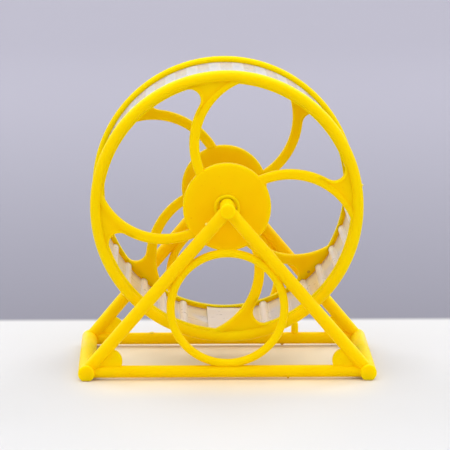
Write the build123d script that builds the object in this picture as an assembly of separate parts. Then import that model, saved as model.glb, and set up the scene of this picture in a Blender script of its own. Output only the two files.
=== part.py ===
from build123d import *
import math
import os

# A hamster wheel on an open stand, in millimetres. The origin is on the floor under the middle of
# the stand, +Z up, the wheel's axis along Y, and the front of the wheel towards -Y.

# Wheel
WHEEL_DIAMETER = 140.0
WHEEL_CENTRE_HEIGHT = 87.7
RIM_SPACING = 72.3
REAR_PLATE_TURN = -55.6

# Rim of a side plate: a round bead, and behind it the groove that holds the running track
BEAD_RADIUS = 2.85
RIM_INWARD_DEPTH = 3.0
RIM_BACK_ROUND = 0.8
LIP_THICKNESS = 0.8
LIP_EDGE_ROUND = 0.25
GROOVE_DEPTH = 2.0

# Web, spokes and hub of a side plate
PLATE_TURN = -0.8
SPOKE_COUNT = 4
WEB_THICKNESS = 1.8
WEB_SET_BACK = 0.7
OUTER_ARC_AXLE_PASS = -1.4
OUTER_ARC_OVERSHOOT = 8.2
OUTER_ARC_ANGLE = -31.5
INNER_ARC_AXLE_PASS = 3.8
INNER_ARC_OVERSHOOT = 1.95
INNER_ARC_ANGLE = -31.1
SPOKE_FIRST_ANGLE = -24.0
SPOKE_LAST_ANGLE = 72.0
HOOK_RADIUS = 5.6
SPOKE_EDGE_ROUND = 1.4
POCKET_ARC_AXLE_PASS = -7.8
POCKET_ARC_OVERSHOOT = 8.1
POCKET_ARC_ANGLE = -39.4
POCKET_EDGE_INSET = 1.2
HUB_END_SHARE = 0.75
HUB_DIAMETER = 45.2
HUB_THICKNESS = 5.0
HUB_PROUD = 0.25
HUB_EDGE_ROUND = 0.9
HUB_BACK_CHAMFER = 0.6
COLLAR_DIAMETER = 13.6
COLLAR_PROUD = 1.8
COLLAR_INWARD = 1.7
COLLAR_EDGE_CHAMFER = 0.4
BORE_DIAMETER = 10.0

# Running track: one thin strip bent round, with solid ribs inside, its ends lapped at the bottom
TRACK_RECESS = 3.0
TRACK_THICKNESS = 0.8
RIB_HEIGHT = 1.7
RIB_WIDTH = 4.2
RIB_COUNT = 32
RIB_PITCH_ANGLE = 10.4
FIRST_RIB_ANGLE = 288.2
LAP_STEP = 1.5
INNER_END_ANGLE = 261.8
RAMP_START_ANGLE = 273.0
RAMP_END_ANGLE = 284.0
OUTER_END_ANGLE = 270.5
SEAT_CLEARANCE = 0.1

# Stand
STAND_DEPTH = 103.0
CORNER_SPACING = 144.3
CROSS_TUBE_DIAMETER = 8.4
FOOT_FLAT_WIDTH = 3.0
TUBE_END_CHAMFER = 0.35
TUBE_JOINT_CHAMFER = 0.3
JOINT_SET_BACK = 6.0
SPIGOT_DIAMETER = 5.2
SPIGOT_LENGTH = 8.0
SPIGOT_CLEARANCE = 0.05
BASE_BAR_DIAMETER = 6.3
BASE_BAR_RISE = 0.25
END_OVERHANG = 5.1
LEG_DIAMETER = 6.7
FRAME_LEAN = 5.3
RING_TUBE_DIAMETER = 4.3
RING_BITE = 0.9
GUSSET_DIAMETER = 12.8
GUSSET_THICKNESS = 2.4
GUSSET_DISTANCE = 13.3

# Axle pins and the small post of the rear half
PIN_DIAMETER = 7.6
PIN_PROUD = 6.5
PIN_END_CHAMFER = 0.35
PIN_REACH = 1.0
HANG_GAP = 0.1
POST_DIAMETER = 3.9
POST_HEIGHT = 5.7
POST_X = 38.1
POST_END_ROUND = 1.3

# Sizes that follow from the ones above
wheel_radius = WHEEL_DIAMETER / 2
rim_plane = RIM_SPACING / 2
bead_centre_radius = wheel_radius - BEAD_RADIUS
track_outer_radius = wheel_radius - TRACK_RECESS
track_inner_radius = track_outer_radius - TRACK_THICKNESS
rib_crest_radius = track_inner_radius - RIB_HEIGHT
groove_outer_radius = track_outer_radius + SEAT_CLEARANCE
groove_inner_radius = rib_crest_radius - SEAT_CLEARANCE
opening_radius = groove_inner_radius - LIP_THICKNESS
groove_floor = GROOVE_DEPTH - RIM_INWARD_DEPTH
web_front = groove_floor + WEB_THICKNESS
spoke_front = web_front + WEB_SET_BACK
hub_radius = HUB_DIAMETER / 2
hub_front = spoke_front + HUB_PROUD

pin_radius = PIN_DIAMETER / 2
bore_radius = BORE_DIAMETER / 2
pin_height = WHEEL_CENTRE_HEIGHT + bore_radius - pin_radius - HANG_GAP
tube_radius = CROSS_TUBE_DIAMETER / 2
tube_height = math.sqrt(tube_radius**2 - (FOOT_FLAT_WIDTH / 2) ** 2)
bar_radius = BASE_BAR_DIAMETER / 2
bar_height = tube_height + BASE_BAR_RISE
bar_plane = STAND_DEPTH / 2 - END_OVERHANG
half_base = CORNER_SPACING / 2
lean = math.radians(FRAME_LEAN)
apex_rise = (pin_height - bar_height) / math.cos(lean)
apex_plane = bar_plane + apex_rise * math.sin(lean)
leg_length = math.hypot(half_base, apex_rise)
inradius = half_base * apex_rise / (half_base + leg_length)
ring_radius = inradius - bar_radius - RING_TUBE_DIAMETER / 2 + RING_BITE
corner_angle = math.degrees(math.atan2(apex_rise, half_base))


def polar(radius, degrees):
    """A point of the XY plane at this distance and direction from the origin."""
    return Vector(radius * math.cos(math.radians(degrees)), radius * math.sin(math.radians(degrees)))


def solid_of(shape):
    """The one solid that a fused or cut shape holds."""
    return shape.solids().sort_by(SortBy.VOLUME)[-1]


def rim():
    """The rim of a side plate, turned about Z, with the wheel's outside towards +Z."""
    bead_meets_web = bead_centre_radius - math.sqrt(BEAD_RADIUS**2 - web_front**2)
    back = -RIM_INWARD_DEPTH
    bead = ThreePointArc((wheel_radius, 0), (bead_centre_radius, BEAD_RADIUS), (bead_meets_web, web_front))
    section = [
        bead,
        Polyline(
            (bead_meets_web, web_front),
            (opening_radius + LIP_EDGE_ROUND, web_front),
            (opening_radius, web_front - LIP_EDGE_ROUND),
            (opening_radius, back + LIP_EDGE_ROUND),
            (opening_radius + LIP_EDGE_ROUND, back),
            (wheel_radius - RIM_BACK_ROUND, back),
            (wheel_radius, back + RIM_BACK_ROUND),
            (wheel_radius, 0),
        ),
    ]
    return revolve(Plane.XZ * make_face(section), Axis.Z)


def groove():
    """The ring cut out of the back of a rim, where the edge of the running track sits."""
    ring = Circle(groove_outer_radius) - Circle(groove_inner_radius)
    return Pos(0, 0, groove_floor) * extrude(ring, -RIM_INWARD_DEPTH)


def arc_disc(axle_pass, overshoot, angle):
    """The disc that passes the axle at one distance and, towards angle, the wheel's edge at another."""
    radius = (wheel_radius + overshoot - axle_pass) / 2
    return polar(radius + axle_pass, angle), radius


def circle_crossing(radius, centre, centre_radius):
    """The direction, past the centre's own, where a circle about the origin crosses another."""
    distance = centre.length
    cosine = (radius**2 + distance**2 - centre_radius**2) / (2 * radius * distance)
    return math.degrees(math.atan2(centre.Y, centre.X) + math.acos(cosine))


outer_centre, outer_radius = arc_disc(OUTER_ARC_AXLE_PASS, OUTER_ARC_OVERSHOOT, OUTER_ARC_ANGLE)
inner_centre, inner_arc_radius = arc_disc(INNER_ARC_AXLE_PASS, INNER_ARC_OVERSHOOT, INNER_ARC_ANGLE)
pocket_centre, pocket_radius = arc_disc(POCKET_ARC_AXLE_PASS, POCKET_ARC_OVERSHOOT, POCKET_ARC_ANGLE)
hook_angle = circle_crossing(opening_radius - HOOK_RADIUS, outer_centre, outer_radius + HOOK_RADIUS)
hook_centre = polar(opening_radius - HOOK_RADIUS, hook_angle)


def spoke_region(inset, cut_centre, cut_radius):
    """A spoke seen from the front, drawn in by inset along its hook side and cut by a disc on the other."""
    outer = Pos(outer_centre) * Circle(outer_radius - inset)
    inner = Pos(cut_centre) * Circle(cut_radius)
    sides = [polar(WHEEL_DIAMETER, angle) for angle in (SPOKE_FIRST_ANGLE, SPOKE_LAST_ANGLE)]
    swept = outer & make_face(Polyline(Vector(0, 0), *sides, close=True))
    rim_side = [polar(WHEEL_DIAMETER, angle) for angle in (SPOKE_FIRST_ANGLE, hook_angle)]
    wedge = [hook_centre, outer_centre, *rim_side]
    hook = make_face(Polyline(*wedge, close=True)) - Pos(hook_centre) * Circle(HOOK_RADIUS + inset)
    band = Circle(bead_centre_radius) - Circle(hub_radius * HUB_END_SHARE)
    return ((swept + hook) - inner) & band


def spoke():
    """One spoke: a rounded bar that widens at the rim, where a shallow pocket in front leaves a web."""
    depth = spoke_front + RIM_INWARD_DEPTH
    body = Pos(0, 0, -RIM_INWARD_DEPTH) * extrude(spoke_region(0, inner_centre, inner_arc_radius), depth)
    long_radii = (outer_radius, inner_arc_radius, HOOK_RADIUS)
    long_edges = [
        edge
        for edge in body.edges().filter_by(GeomType.CIRCLE)
        if any(math.isclose(edge.radius, radius) for radius in long_radii)
    ]
    body = fillet(long_edges, SPOKE_EDGE_ROUND)
    pocket = spoke_region(POCKET_EDGE_INSET, pocket_centre, pocket_radius)
    body -= Pos(0, 0, web_front) * extrude(pocket, depth)
    return body


def side_plate():
    """A side plate lying in the XY plane, its axle bore along Z and its outer side towards +Z."""
    hub_back = hub_front - HUB_THICKNESS
    hub = Pos(0, 0, hub_back) * extrude(Circle(hub_radius), HUB_THICKNESS)
    hub = fillet(hub.edges().sort_by(Axis.Z)[-1], HUB_EDGE_ROUND)
    hub = chamfer(hub.edges().sort_by(Axis.Z)[0], HUB_BACK_CHAMFER)
    collar_height = COLLAR_PROUD + HUB_THICKNESS + COLLAR_INWARD
    collar = Pos(0, 0, hub_back - COLLAR_INWARD) * extrude(Circle(COLLAR_DIAMETER / 2), collar_height)
    collar = chamfer(collar.edges().filter_by(GeomType.CIRCLE), COLLAR_EDGE_CHAMFER)
    arm = spoke()
    plate = rim() + hub
    for turn in range(SPOKE_COUNT):
        plate = plate + Rot(0, 0, turn * 360 / SPOKE_COUNT) * arm
    plate = plate + collar - groove()
    plate -= Pos(0, 0, hub_back - 2 * COLLAR_INWARD) * extrude(Circle(bore_radius), 3 * collar_height)
    return solid_of(plate)


def place_plate(plate, turn, facing):
    """Stands a side plate upright on the wheel's axis; facing is 0 for the front and 180 for the rear."""
    upright = Pos(0, -rim_plane, 0) * Rot(90, 0, 0) * Rot(0, 0, turn) * plate
    return Pos(0, 0, WHEEL_CENTRE_HEIGHT) * Rot(0, 0, facing) * upright


def arc_between(radius, start, end):
    """Three points of an arc about the origin, from one direction to another."""
    return polar(radius, start), polar(radius, (start + end) / 2), polar(radius, end)


def lapped_line(radius, end, ribs):
    """One surface of the strip as arcs, from the end lapped inside, down the ramp and round."""
    inside = radius - LAP_STEP
    arcs = [arc_between(inside, INNER_END_ANGLE, RAMP_START_ANGLE)]
    half_way = polar(radius - LAP_STEP / 2, (RAMP_START_ANGLE + RAMP_END_ANGLE) / 2)
    arcs.append((arcs[0][2], half_way, polar(radius, RAMP_END_ANGLE)))
    behind = RAMP_END_ANGLE
    half_rib = math.degrees(RIB_WIDTH / 2 / radius)
    for angle in ribs:
        arcs.append(arc_between(radius, behind, angle - half_rib))
        arcs.append((arcs[-1][2], polar(radius - RIB_HEIGHT, angle), polar(radius, angle + half_rib)))
        behind = angle + half_rib
    middle = (behind + end) / 2
    arcs.append(arc_between(radius, behind, middle))
    arcs.append(arc_between(radius, middle, end))
    return arcs


def running_track():
    """The ribbed strip, standing on the wheel's axis between the two rims."""
    end = OUTER_END_ANGLE + 360
    outer = lapped_line(track_outer_radius, end, [])
    ribs = [FIRST_RIB_ANGLE + RIB_PITCH_ANGLE * rib for rib in range(RIB_COUNT)]
    inner = lapped_line(track_inner_radius, end, ribs)
    edges = [ThreePointArc(*points) for points in outer + inner]
    edges.append(Line(outer[0][0], inner[0][0]))
    edges.append(Line(outer[-1][2], inner[-1][2]))
    width = RIM_SPACING - 2 * (RIM_INWARD_DEPTH - GROOVE_DEPTH + SEAT_CLEARANCE)
    strip = extrude(make_face(edges), width / 2, both=True)
    return Pos(0, 0, WHEEL_CENTRE_HEIGHT) * Rot(90, 0, 0) * solid_of(strip)


def round_bar(start, end, radius):
    """A round bar from one point to another."""
    direction = end - start
    return Plane(origin=start, z_dir=direction) * extrude(Circle(radius), direction.length)


def stand_half(joint_plane, has_post):
    """One half of the stand, as the front one: base bar, legs, ring, gussets, tubes and axle pin."""
    frame_plane = Plane(
        origin=(0, -bar_plane, bar_height), x_dir=(1, 0, 0), z_dir=(0, -math.cos(lean), -math.sin(lean))
    )
    apex = Vector(0, -apex_plane, pin_height)
    front = -STAND_DEPTH / 2
    corners = {side: Vector(side * half_base, -bar_plane, bar_height) for side in (-1, 1)}
    half = round_bar(corners[-1], corners[1], bar_radius)
    for side, corner in corners.items():
        half += round_bar(corner, apex, LEG_DIAMETER / 2)
        bisector = math.radians(corner_angle / 2)
        across = side * (half_base - GUSSET_DISTANCE * math.cos(bisector))
        centre = Pos(across, GUSSET_DISTANCE * math.sin(bisector), -GUSSET_THICKNESS / 2)
        half += frame_plane * centre * extrude(Circle(GUSSET_DIAMETER / 2), GUSSET_THICKNESS)
    half += frame_plane * Pos(0, inradius, 0) * Torus(ring_radius, RING_TUBE_DIAMETER / 2)

    tube = extrude(Circle(tube_radius), joint_plane - front)
    tube = chamfer(tube.edges().filter_by(GeomType.CIRCLE).sort_by(Axis.Z)[-1], TUBE_END_CHAMFER)
    tube = chamfer(tube.edges().filter_by(GeomType.CIRCLE).sort_by(Axis.Z)[0], TUBE_JOINT_CHAMFER)
    for side in (-1, 1):
        half += Pos(side * half_base, joint_plane, tube_height) * Rot(90, 0, 0) * tube
    spigot = extrude(Circle(SPIGOT_DIAMETER / 2), SPIGOT_LENGTH)
    spigot = chamfer(spigot.edges().filter_by(GeomType.CIRCLE).sort_by(Axis.Z)[-1], TUBE_END_CHAMFER)
    half += Pos(-half_base, joint_plane, tube_height) * Rot(-90, 0, 0) * spigot
    socket = extrude(Circle(SPIGOT_DIAMETER / 2 + SPIGOT_CLEARANCE), SPIGOT_LENGTH + TUBE_END_CHAMFER)
    half -= Pos(half_base, joint_plane, tube_height) * Rot(90, 0, 0) * socket

    pin_front = -(apex_plane + PIN_PROUD)
    pin_back = -(rim_plane - (HUB_THICKNESS - hub_front) - COLLAR_INWARD - PIN_REACH)
    pin = extrude(Circle(pin_radius), pin_back - pin_front)
    pin = chamfer(pin.edges().filter_by(GeomType.CIRCLE), PIN_END_CHAMFER)
    half += Pos(0, pin_back, pin_height) * Rot(90, 0, 0) * pin
    if has_post:
        post = extrude(Circle(POST_DIAMETER / 2), bar_radius + POST_HEIGHT)
        post = fillet(post.edges().filter_by(GeomType.CIRCLE).sort_by(Axis.Z)[-1], POST_END_ROUND)
        half += Pos(-POST_X, -bar_plane, bar_height) * post

    below = (Align.CENTER, Align.CENTER, Align.MAX)
    floor = Box(2 * CORNER_SPACING, 2 * STAND_DEPTH, CROSS_TUBE_DIAMETER, align=below)
    return solid_of(half - floor)


def main():
    os.makedirs("parts", exist_ok=True)
    plate = side_plate()
    nodes = {
        "front_stand_half": stand_half(JOINT_SET_BACK, False),
        "rear_stand_half": Rot(0, 0, 180) * stand_half(-JOINT_SET_BACK, True),
        "front_wheel_plate": place_plate(plate, PLATE_TURN, 0),
        "rear_wheel_plate": place_plate(plate, REAR_PLATE_TURN, 180),
        "running_track": running_track(),
    }
    for name, shape in nodes.items():
        solid = shape if isinstance(shape, Solid) else solid_of(shape)
        export_step(solid, f"parts/{name}.step")


main()
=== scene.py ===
"""A pet's exercise wheel of bright yellow plastic on its open stand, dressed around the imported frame.

Everything is in metres, in the frame's own place: the floor at z 0, the wheel's axis along Y, the front
towards -Y. The moulded parts keep their solids and get moulded-plastic materials; the small marks that
moulding leaves on them are pieces of their own.
"""

import math

import bmesh
import bpy
from mathutils import Matrix, Vector


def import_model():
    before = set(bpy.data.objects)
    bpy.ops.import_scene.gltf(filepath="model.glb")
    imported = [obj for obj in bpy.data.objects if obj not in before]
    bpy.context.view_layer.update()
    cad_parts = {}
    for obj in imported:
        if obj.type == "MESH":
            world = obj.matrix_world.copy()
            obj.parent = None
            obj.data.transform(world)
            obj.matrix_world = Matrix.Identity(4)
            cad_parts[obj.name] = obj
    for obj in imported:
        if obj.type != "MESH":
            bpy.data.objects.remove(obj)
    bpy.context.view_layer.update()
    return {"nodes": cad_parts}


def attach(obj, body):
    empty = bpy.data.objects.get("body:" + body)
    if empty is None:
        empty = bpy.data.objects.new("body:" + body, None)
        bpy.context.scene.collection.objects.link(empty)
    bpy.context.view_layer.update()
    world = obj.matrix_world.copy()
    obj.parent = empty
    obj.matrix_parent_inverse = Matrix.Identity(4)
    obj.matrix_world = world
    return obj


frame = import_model()

MM = 0.001
FULL_TURN = 2 * math.pi
QUARTER_DEGREES = 90

# Sockets of the Mix node for colours, whose names are not unique
MIX_FIRST_COLOUR = 6
MIX_SECOND_COLOUR = 7
MIX_RESULT_COLOUR = 2

# Camera, fitted to the rims, the ring and the stand's corners
CAMERA_TARGET = Vector((-0.29, 0.0, 72.81)) * MM
CAMERA_DISTANCE = 1836.45 * MM
CAMERA_ELEVATION = math.radians(8.698)
CAMERA_AZIMUTH = math.radians(-1.129)
CAMERA_LENS = 281.4
SENSOR_WIDTH = 36.0
CLIP_START = 0.05
CLIP_END = 20.0

# Softboxes: name, azimuth and elevation in degrees, distance, size and power
SOFTBOXES = [
    ("left_softbox", -60, 28, 1.9, 1.2, 6),
    ("right_softbox", 58, 26, 1.9, 1.2, 6),
    ("front_softbox", 0, 12, 2.2, 1.0, 3),
    ("top_softbox", 0, 84, 1.5, 1.6, 17),
    ("rear_left_softbox", -140, 34, 1.9, 1.2, 14),
    ("rear_right_softbox", 138, 34, 1.9, 1.2, 14),
]
LIGHT_TARGET = Vector((0, 0, 0.075))
WORLD_STRENGTH = 0.50

# Floor and backdrop: sizes, then colours in 0 to 255 steps and the places where they change
FLOOR_HALF_WIDTH = 4.0
FLOOR_FRONT = -3.0
BEND_START = 1.6
BEND_RADIUS = 1.0
BEND_STEPS = 16
BACKDROP_HEIGHT = 3.0
FLOOR_COLOUR = (208, 208, 209)
FLOOR_END = (118 * MM, 132 * MM)
# Painted light: the backdrop is painted darker near the floor and paler far behind, standing in for the way
# the light falls on it
BACKDROP_NEAR_COLOUR = (124, 123, 136)
BACKDROP_FAR_COLOUR = (199, 197, 211)
BACKDROP_PAINTED_LIGHT_FADE = (0.13, 2.2)
# Painted bounce light: a warm patch painted on the floor under and just ahead of the yellow stand, standing
# in for light thrown off the yellow plastic
PAINTED_BOUNCE_COLOUR = (248, 234, 204)
PAINTED_BOUNCE_SIDE = (42 * MM, 88 * MM)
PAINTED_BOUNCE_BEHIND = (30 * MM, 75 * MM)
PAINTED_BOUNCE_AHEAD = (-105 * MM, -35 * MM)
FLOOR_ROUGHNESS = 0.6

# The part of a noise's values that most of its points fall in
NOISE_SPAN = (0.3, 0.7)

# Yellow plastic: colours as linear light, noises per metre, and the ranges over which effects come in
YELLOW_DEEP = (0.97, 0.595, 0.0)
YELLOW_BRIGHT = (1.0, 0.635, 0.0)
FLOW_NOISE = {"scale": 38.0, "detail": 4.0, "roughness": 0.6, "stretch": (1.0, 1.0, 0.45)}
SPECK_COLOUR = (0.93, 0.52, 0.004)
SPECK_NOISE = {"scale": 700.0, "detail": 1.0}
SPECK_RANGE = (0.74, 0.78)
SCUFF_COLOUR = (0.80, 0.50, 0.06)
SCUFF_NOISE = {"scale": 240.0, "detail": 5.0, "roughness": 0.7, "stretch": (0.2, 1.0, 1.0)}
SCUFF_RANGE = (0.46, 0.58)
SCUFF_HEIGHTS = (0.3 * MM, 1.4 * MM)
SCUFF_ROUGHNESS = 0.2
# Painted light: the outer sides of the rear cross tubes are painted paler, standing in for the light on
# them
REAR_TUBE_PAINTED_LIGHT_COLOUR = (0.90, 0.62, 0.20)
REAR_TUBE_PAINTED_LIGHT_SHARE = 0.6
REAR_TUBE_PAINTED_LIGHT_OUTWARD = (72.5 * MM, 76.0 * MM)
REAR_TUBE_PAINTED_LIGHT_BACKWARD = (5.6 * MM, 6.4 * MM)
YELLOW_GLOSS_NOISE = {"scale": 160.0}
YELLOW_ROUGHNESS = (0.48, 0.60)
YELLOW_SKIN_NOISE = {"scale": 900.0, "detail": 2.0}
YELLOW_SKIN_STRENGTH = 0.12
SKIN_DEPTH = 0.02 * MM
YELLOW_BODY = {
    "Subsurface Weight": 0.8,
    "Subsurface Radius": (1.0, 0.85, 0.03),
    "Subsurface Scale": 8.0 * MM,
    "IOR": 1.49,
    "Specular IOR Level": 0.2,
    "Specular Tint": (1.0, 0.80, 0.10, 1),
}

# Running track in the frame: rib angles in degrees, and a rib's edge as shares of the pitch
AXLE_HEIGHT = 87.7 * MM
RIBS_START = 283.0
RIB_PITCH = 10.4
RIB_COUNT = 32
RIB_EDGE = (0.19, 0.29)
RIB_SKIN_RADII = (65.9 * MM, 66.15 * MM)
OUTER_SKIN_RADII = (66.5 * MM, 66.8 * MM)

# Milky plastic of the track: colours in 0 to 255 steps, noises per metre
# Painted light: the warm tint between the ribs inside is a painted reflection of the yellow plastic, and
# the cooler, darker grey outside is painted shade
THIN_PAINTED_REFLECTION_COLOURS = ((250, 238, 220), (252, 243, 228))
RIB_COLOURS = ((250, 242, 232), (252, 247, 240))
OUTER_PAINTED_SHADE_COLOURS = ((208, 213, 223), (212, 217, 227))
OUTER_BAND_PAINTED_SHADE_COLOUR = (215, 220, 230)
BAND_MILK = 0.45
TRACK_OPACITY = (0.50, 0.86)
TRACK_CLOUD_NOISE = {"scale": 45.0, "detail": 3.0}
TRACK_GLOSS_NOISE = {"scale": 220.0}
TRACK_ROUGHNESS = (0.26, 0.40)
TRACK_SKIN_NOISE = {"scale": 70.0, "detail": 1.0}
TRACK_SKIN_STRENGTH = 0.10
TRACK_IOR = 1.45

# Skin of the mould's marks: a pale torn skin, and a dark skin that is painted shade for marks in a pit and
# under the bars
TORN_COLOUR = (1.0, 0.82, 0.12)
# Painted shade: the dark skin stands in for the shade in an ejector's pit and under the bars
PAINTED_SHADE_MARK_COLOUR = (0.66, 0.38, 0.0)
MARK_SHADE = 0.85
MARK_SPAN = (0.35, 0.65)
MARK_NOISE = {"scale": 1500.0, "detail": 3.0}
MARK_ROUGHNESS = (0.5, 0.7)
MARK_SKIN_STRENGTH = 0.3
MARK_SKIN_DEPTH = 0.05 * MM
MARK_IOR = 1.49

# Form of a mark: its root in the part, its dome as shares of radius and height, and its unevenness
MARK_ROOT = 0.4 * MM
MARK_SEGMENTS = 20
MARK_DOME = [(1.0, 0.2), (0.88, 0.62), (0.66, 0.93)]
MARK_TOP = 0.4
MARK_OVAL = 0.07
MARK_OVAL_TURN = 0.6
MARK_WAVE = 0.04

# Marks: name, body, skin, place and facing, then radius, height and hollow; places and lengths in mm
MARKS = [
    ("front_bar_gate_mark", "stand", "shaded", (31.0, -47.4, 1.2), (0, -0.4, -0.9), 0.6, 0.6, 0.0),
    ("rear_bar_gate_mark", "stand", "shaded", (31.3, 45.0, 1.3), (0, -0.4, -0.9), 0.9, 0.7, 0.0),
    ("front_leg_gate_mark", "stand", "torn", (-10.7, -53.6, 81.4), (-0.78, -0.1, 0.62), 0.8, 0.7, 0.0),
    ("rear_bar_nib", "stand", "torn", (-38.7, 46.3, 7.45), (0, 0, 1), 1.3, 0.25, 0.0),
    ("front_rim_gate_mark", "wheel", "torn", (69.0, -36.0, 98.7), (0.98, -0.1, 0.16), 0.8, 0.7, 0.0),
    ("rear_web_ejector_mark", "wheel", "shaded", (44.9, 33.15, 42.4), (0, -1, 0), 0.8, 0.25, 0.2),
]


def look_from(azimuth, elevation, distance, target):
    """The place at this distance from target, seen from this azimuth and elevation."""
    level = math.cos(elevation)
    back = Vector((math.sin(azimuth) * level, -math.cos(azimuth) * level, math.sin(elevation)))
    return target + back * distance


def put_facing(item, place, target):
    """Adds a camera or a light at a place, facing its target."""
    bpy.context.scene.collection.objects.link(item)
    item.location = place
    item.rotation_euler = (target - item.location).to_track_quat("-Z", "Y").to_euler()


def add_camera():
    """The camera, at the photograph's point of view."""
    data = bpy.data.cameras.new("camera")
    data.lens = CAMERA_LENS
    data.sensor_width = SENSOR_WIDTH
    data.clip_start = CLIP_START
    data.clip_end = CLIP_END
    camera = bpy.data.objects.new("camera", data)
    place = look_from(CAMERA_AZIMUTH, CAMERA_ELEVATION, CAMERA_DISTANCE, CAMERA_TARGET)
    put_facing(camera, place, CAMERA_TARGET)
    bpy.context.scene.camera = camera


def add_softbox(name, azimuth, elevation, distance, size, power):
    """A square white softbox that faces the wheel."""
    data = bpy.data.lights.new(name, "AREA")
    data.shape = "SQUARE"
    data.size = size
    data.energy = power
    place = look_from(math.radians(azimuth), math.radians(elevation), distance, LIGHT_TARGET)
    put_facing(bpy.data.objects.new(name, data), place, LIGHT_TARGET)


def add_world():
    """Even white light from all round."""
    world = bpy.data.worlds.new("studio")
    bpy.context.scene.world = world
    world.use_nodes = True
    background = world.node_tree.nodes["Background"]
    background.inputs["Color"].default_value = (1, 1, 1, 1)
    background.inputs["Strength"].default_value = WORLD_STRENGTH


def srgb(red, green, blue):
    """A colour given in 0 to 255 steps, as linear light."""
    def linear(step):
        share = step / 255
        return share / 12.92 if share <= 0.04045 else ((share + 0.055) / 1.055) ** 2.4
    return (linear(red), linear(green), linear(blue))


def new_material(name):
    """A material with a Principled shader alone, its node tree and that shader."""
    material = bpy.data.materials.new(name)
    material.use_nodes = True
    tree = material.node_tree
    tree.nodes.clear()
    shader = tree.nodes.new("ShaderNodeBsdfPrincipled")
    output = tree.nodes.new("ShaderNodeOutputMaterial")
    tree.links.new(shader.outputs["BSDF"], output.inputs["Surface"])
    return material, tree, shader


def place_on_piece(tree):
    """A point's place on the piece in metres, as its X, Y and Z."""
    place = tree.nodes.new("ShaderNodeTexCoord")
    parts = tree.nodes.new("ShaderNodeSeparateXYZ")
    tree.links.new(place.outputs["Object"], parts.inputs[0])
    return parts.outputs["X"], parts.outputs["Y"], parts.outputs["Z"]


def noise(tree, scale, detail=3.0, roughness=0.5, stretch=(1.0, 1.0, 1.0)):
    """A noise of this scale per metre, fixed to the piece."""
    place = tree.nodes.new("ShaderNodeTexCoord")
    mapping = tree.nodes.new("ShaderNodeMapping")
    mapping.inputs["Scale"].default_value = stretch
    texture = tree.nodes.new("ShaderNodeTexNoise")
    texture.inputs["Scale"].default_value = scale
    texture.inputs["Detail"].default_value = detail
    texture.inputs["Roughness"].default_value = roughness
    tree.links.new(place.outputs["Object"], mapping.inputs["Vector"])
    tree.links.new(mapping.outputs["Vector"], texture.inputs["Vector"])
    return texture.outputs["Fac"]


def ramp(tree, value, span, colours):
    """A ramp from the first colour to the second, over this span of a value."""
    node = tree.nodes.new("ShaderNodeValToRGB")
    for element, position, colour in zip(node.color_ramp.elements, span, colours):
        element.position = position
        element.color = (*colour, 1)
    tree.links.new(value, node.inputs["Fac"])
    return node.outputs["Color"]


def srgb_ramp(tree, value, colours):
    """A ramp over a noise's values between two colours given in 0 to 255 steps."""
    return ramp(tree, value, NOISE_SPAN, [srgb(*steps) for steps in colours])


def map_range(tree, value, source, target, interpolation="LINEAR"):
    """A value held within one range and brought into another."""
    node = tree.nodes.new("ShaderNodeMapRange")
    node.interpolation_type = interpolation
    node.inputs["From Min"].default_value = source[0]
    node.inputs["From Max"].default_value = source[1]
    node.inputs["To Min"].default_value = target[0]
    node.inputs["To Max"].default_value = target[1]
    tree.links.new(value, node.inputs["Value"])
    return node.outputs["Result"]


def math_node(tree, operation, first, second=None, third=None):
    """One step of arithmetic on sockets or numbers."""
    node = tree.nodes.new("ShaderNodeMath")
    node.operation = operation
    for socket, value in zip(node.inputs, (first, second, third)):
        if value is None:
            continue
        if isinstance(value, (int, float)):
            socket.default_value = value
        else:
            tree.links.new(value, socket)
    return node.outputs[0]


def beyond(tree, value, span):
    """0 before the span, 1 beyond it, and a smooth step within it."""
    return map_range(tree, value, span, (0.0, 1.0), "SMOOTHSTEP")


def before(tree, value, span):
    """1 before the span, 0 beyond it, and a smooth step within it."""
    return math_node(tree, "SUBTRACT", 1.0, beyond(tree, value, span))


def product(tree, first, second):
    """Two values multiplied."""
    return math_node(tree, "MULTIPLY", first, second)


def blend(tree, share, first, second):
    """A mix of two colours, each a socket or an RGB triple."""
    node = tree.nodes.new("ShaderNodeMix")
    node.data_type = "RGBA"
    tree.links.new(share, node.inputs["Factor"])
    for socket, value in ((MIX_FIRST_COLOUR, first), (MIX_SECOND_COLOUR, second)):
        if isinstance(value, tuple):
            node.inputs[socket].default_value = (*value, 1)
        else:
            tree.links.new(value, node.inputs[socket])
    return node.outputs[MIX_RESULT_COLOUR]


def fine_bump(tree, shader, height, strength, distance):
    """Fine relief on the skin."""
    bump = tree.nodes.new("ShaderNodeBump")
    bump.inputs["Strength"].default_value = strength
    bump.inputs["Distance"].default_value = distance
    tree.links.new(height, bump.inputs["Height"])
    tree.links.new(bump.outputs["Normal"], shader.inputs["Normal"])


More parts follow.
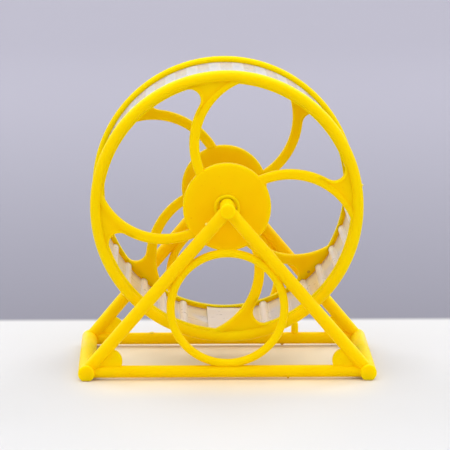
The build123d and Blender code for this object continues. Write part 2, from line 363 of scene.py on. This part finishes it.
def yellow_plastic():
    """Saturated yellow moulded plastic with faint flow marks and a fine orange-peel skin.

    It is scuffed where it stands on the floor, and the outer sides of the rear cross tubes are painted
    paler as painted light.
    """
    material, tree, shader = new_material("yellow_moulded_plastic")
    across, along, up = place_on_piece(tree)
    colour = ramp(tree, noise(tree, **FLOW_NOISE), NOISE_SPAN, (YELLOW_DEEP, YELLOW_BRIGHT))
    specks = beyond(tree, noise(tree, **SPECK_NOISE), SPECK_RANGE)
    colour = blend(tree, specks, colour, SPECK_COLOUR)
    scratches = beyond(tree, noise(tree, **SCUFF_NOISE), SCUFF_RANGE)
    scuffs = product(tree, before(tree, up, SCUFF_HEIGHTS), scratches)
    colour = blend(tree, scuffs, colour, SCUFF_COLOUR)
    # Painted light: paler colour painted on the outer sides of the rear cross tubes
    outward = beyond(tree, math_node(tree, "ABSOLUTE", across), REAR_TUBE_PAINTED_LIGHT_OUTWARD)
    painted_light_side = product(tree, outward, beyond(tree, along, REAR_TUBE_PAINTED_LIGHT_BACKWARD))
    colour = blend(tree, product(tree, painted_light_side, REAR_TUBE_PAINTED_LIGHT_SHARE), colour, REAR_TUBE_PAINTED_LIGHT_COLOUR)
    tree.links.new(colour, shader.inputs["Base Color"])
    gloss = map_range(tree, noise(tree, **YELLOW_GLOSS_NOISE), NOISE_SPAN, YELLOW_ROUGHNESS)
    roughness = math_node(tree, "MULTIPLY_ADD", scuffs, SCUFF_ROUGHNESS, gloss)
    tree.links.new(roughness, shader.inputs["Roughness"])
    fine_bump(tree, shader, noise(tree, **YELLOW_SKIN_NOISE), YELLOW_SKIN_STRENGTH, SKIN_DEPTH)
    for name, value in YELLOW_BODY.items():
        shader.inputs[name].default_value = value
    return material


def rib_bands(tree):
    """1 where a rib lies behind the strip and 0 between the ribs, and the distance from the axle."""
    across, _, height = place_on_piece(tree)
    up = math_node(tree, "SUBTRACT", height, AXLE_HEIGHT)
    squares = math_node(tree, "ADD", product(tree, across, across), product(tree, up, up))
    radius = math_node(tree, "SQRT", squares)
    angle = math_node(tree, "ARCTAN2", up, across)
    from_start = math_node(tree, "SUBTRACT", angle, math.radians(RIBS_START))
    turned = math_node(tree, "WRAP", from_start, FULL_TURN, 0.0)
    step = math_node(tree, "DIVIDE", turned, math.radians(RIB_PITCH))
    from_middle = math_node(tree, "SUBTRACT", math_node(tree, "FRACT", step), 0.5)
    band = before(tree, math_node(tree, "ABSOLUTE", from_middle), RIB_EDGE)
    ribbed = math_node(tree, "LESS_THAN", step, RIB_COUNT)
    return product(tree, band, ribbed), radius


def track_plastic():
    """Thin milky strip that light shines through, whiter where its solid ribs are; its warm tint inside is
    a painted reflection of the yellow plastic, and its cooler grey outside is painted shade.
    """
    material, tree, shader = new_material("milky_track_plastic")
    bands, radius = rib_bands(tree)
    on_rib = before(tree, radius, RIB_SKIN_RADII)
    milk = math_node(tree, "MAXIMUM", on_rib, product(tree, bands, BAND_MILK))
    cloud = noise(tree, **TRACK_CLOUD_NOISE)
    # Painted reflection inside the strip, painted shade on its outside
    thin_painted_reflection = srgb_ramp(tree, cloud, THIN_PAINTED_REFLECTION_COLOURS)
    rib = srgb_ramp(tree, cloud, RIB_COLOURS)
    outer_painted_shade = srgb_ramp(tree, cloud, OUTER_PAINTED_SHADE_COLOURS)
    inner_with_painted_reflection = blend(tree, milk, thin_painted_reflection, rib)
    outer_with_painted_shade = blend(tree, bands, outer_painted_shade, srgb(*OUTER_BAND_PAINTED_SHADE_COLOUR))
    colour = blend(tree, beyond(tree, radius, OUTER_SKIN_RADII), inner_with_painted_reflection, outer_with_painted_shade)
    tree.links.new(colour, shader.inputs["Base Color"])
    gloss = map_range(tree, noise(tree, **TRACK_GLOSS_NOISE), NOISE_SPAN, TRACK_ROUGHNESS)
    tree.links.new(gloss, shader.inputs["Roughness"])
    fine_bump(tree, shader, noise(tree, **TRACK_SKIN_NOISE), TRACK_SKIN_STRENGTH, SKIN_DEPTH)
    opacity = map_range(tree, milk, (0.0, 1.0), TRACK_OPACITY)
    tree.links.new(opacity, shader.inputs["Alpha"])
    shader.inputs["IOR"].default_value = TRACK_IOR
    return material


def mark_plastic(name, colour):
    """The torn skin of a mark that the mould leaves, or the dark skin painted with shade."""
    material, tree, shader = new_material(name)
    darker = tuple(MARK_SHADE * share for share in colour)
    grain = noise(tree, **MARK_NOISE)
    tree.links.new(ramp(tree, grain, MARK_SPAN, (darker, colour)), shader.inputs["Base Color"])
    tree.links.new(map_range(tree, grain, NOISE_SPAN, MARK_ROUGHNESS), shader.inputs["Roughness"])
    fine_bump(tree, shader, grain, MARK_SKIN_STRENGTH, MARK_SKIN_DEPTH)
    shader.inputs["IOR"].default_value = MARK_IOR
    return material


def floor_material():
    """White in front, a cool grey behind that is painted paler with distance as painted light, and a warm
    patch of painted bounce light under the yellow stand.
    """
    material, tree, shader = new_material("studio_floor")
    across, along, _ = place_on_piece(tree)
    # Painted light: the backdrop's grey is painted paler with distance
    distance = map_range(tree, along, BACKDROP_PAINTED_LIGHT_FADE, (0.0, 1.0))
    backdrop = blend(tree, distance, srgb(*BACKDROP_NEAR_COLOUR), srgb(*BACKDROP_FAR_COLOUR))
    ground = blend(tree, beyond(tree, along, FLOOR_END), srgb(*FLOOR_COLOUR), backdrop)
    # Painted bounce light: the floor's colour turns warm in a patch under the stand
    beside = before(tree, math_node(tree, "ABSOLUTE", across), PAINTED_BOUNCE_SIDE)
    lengthwise = product(tree, before(tree, along, PAINTED_BOUNCE_BEHIND), beyond(tree, along, PAINTED_BOUNCE_AHEAD))
    painted_bounce = product(tree, beside, lengthwise)
    tree.links.new(blend(tree, painted_bounce, ground, srgb(*PAINTED_BOUNCE_COLOUR)), shader.inputs["Base Color"])
    shader.inputs["Roughness"].default_value = FLOOR_ROUGHNESS
    return material


def add_smooth_object(name, mesh, material):
    """An object of this mesh and material, shaded smooth."""
    for polygon in mesh.polygons:
        polygon.use_smooth = True
    mesh.materials.append(material)
    item = bpy.data.objects.new(name, mesh)
    bpy.context.scene.collection.objects.link(item)
    return item


def add_floor():
    """A pale floor that bends up into a backdrop far behind."""
    profile = [(FLOOR_FRONT, 0.0), (BEND_START, 0.0)]
    for step in range(1, BEND_STEPS + 1):
        angle = math.radians(QUARTER_DEGREES * step / BEND_STEPS)
        profile.append((BEND_START + BEND_RADIUS * math.sin(angle), BEND_RADIUS * (1 - math.cos(angle))))
    profile.append((BEND_START + BEND_RADIUS, BACKDROP_HEIGHT))
    points = [(x, y, z) for y, z in profile for x in (-FLOOR_HALF_WIDTH, FLOOR_HALF_WIDTH)]
    faces = [(2 * i, 2 * i + 1, 2 * i + 3, 2 * i + 2) for i in range(len(profile) - 1)]
    mesh = bpy.data.meshes.new("studio_floor")
    mesh.from_pydata(points, [], faces)
    floor = add_smooth_object("studio_floor", mesh, floor_material())


def uneven_ring(shape, radius, level):
    """One ring of a mark's points, slightly oval and wavy."""
    ring = []
    for step in range(MARK_SEGMENTS):
        angle = FULL_TURN * step / MARK_SEGMENTS
        oval = MARK_OVAL * math.sin(2 * angle + MARK_OVAL_TURN)
        wave = MARK_WAVE * math.cos(3 * angle)
        reach = radius * (1 + oval + wave)
        ring.append(shape.verts.new((reach * math.cos(angle), reach * math.sin(angle), level)))
    return ring


def mark_shape(radius, height, hollow):
    """A low, closed dome about Z that starts below its base; a hollow makes its top a ring."""
    profile = [(1.0, -MARK_ROOT)]
    profile += [(share, level * height) for share, level in MARK_DOME]
    profile.append((MARK_TOP, height - hollow / 2))
    shape = bmesh.new()
    rings = [uneven_ring(shape, radius * share, level) for share, level in profile]
    for lower, upper in zip(rings, rings[1:]):
        for step in range(MARK_SEGMENTS):
            after = (step + 1) % MARK_SEGMENTS
            shape.faces.new((lower[step], lower[after], upper[after], upper[step]))
    shape.faces.new(list(reversed(rings[0])))
    top = shape.verts.new((0, 0, height - hollow))
    for step in range(MARK_SEGMENTS):
        shape.faces.new((rings[-1][step], rings[-1][(step + 1) % MARK_SEGMENTS], top))
    return shape


def add_mark(name, body, skin, place, facing, radius, height, hollow):
    """A mark that the mould leaves: a cut gate, a nib, or with a hollow an ejector's ring."""
    shape = mark_shape(radius * MM, height * MM, hollow * MM)
    turn = Vector(facing).to_track_quat("Z", "Y").to_matrix().to_4x4()
    shape.transform(Matrix.Translation(Vector(place) * MM) @ turn)
    mesh = bpy.data.meshes.new(name)
    shape.to_mesh(mesh)
    shape.free()
    mark = add_smooth_object(name, mesh, skin)
    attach(mark, body)


bpy.context.scene.view_settings.view_transform = "Standard"
add_camera()
add_world()
for softbox in SOFTBOXES:
    add_softbox(*softbox)
add_floor()

yellow = yellow_plastic()
milky = track_plastic()
for name, node in frame["nodes"].items():
    node.material_slots[0].material = milky if name == "running_track" else yellow

skins = {
    "torn": mark_plastic("torn_gate_plastic", TORN_COLOUR),
    # The dark skin is painted shade
    "shaded": mark_plastic("painted_shade_mark_plastic", PAINTED_SHADE_MARK_COLOUR),
}
for name, body, skin, *form in MARKS:
    add_mark(name, body, skins[skin], *form)
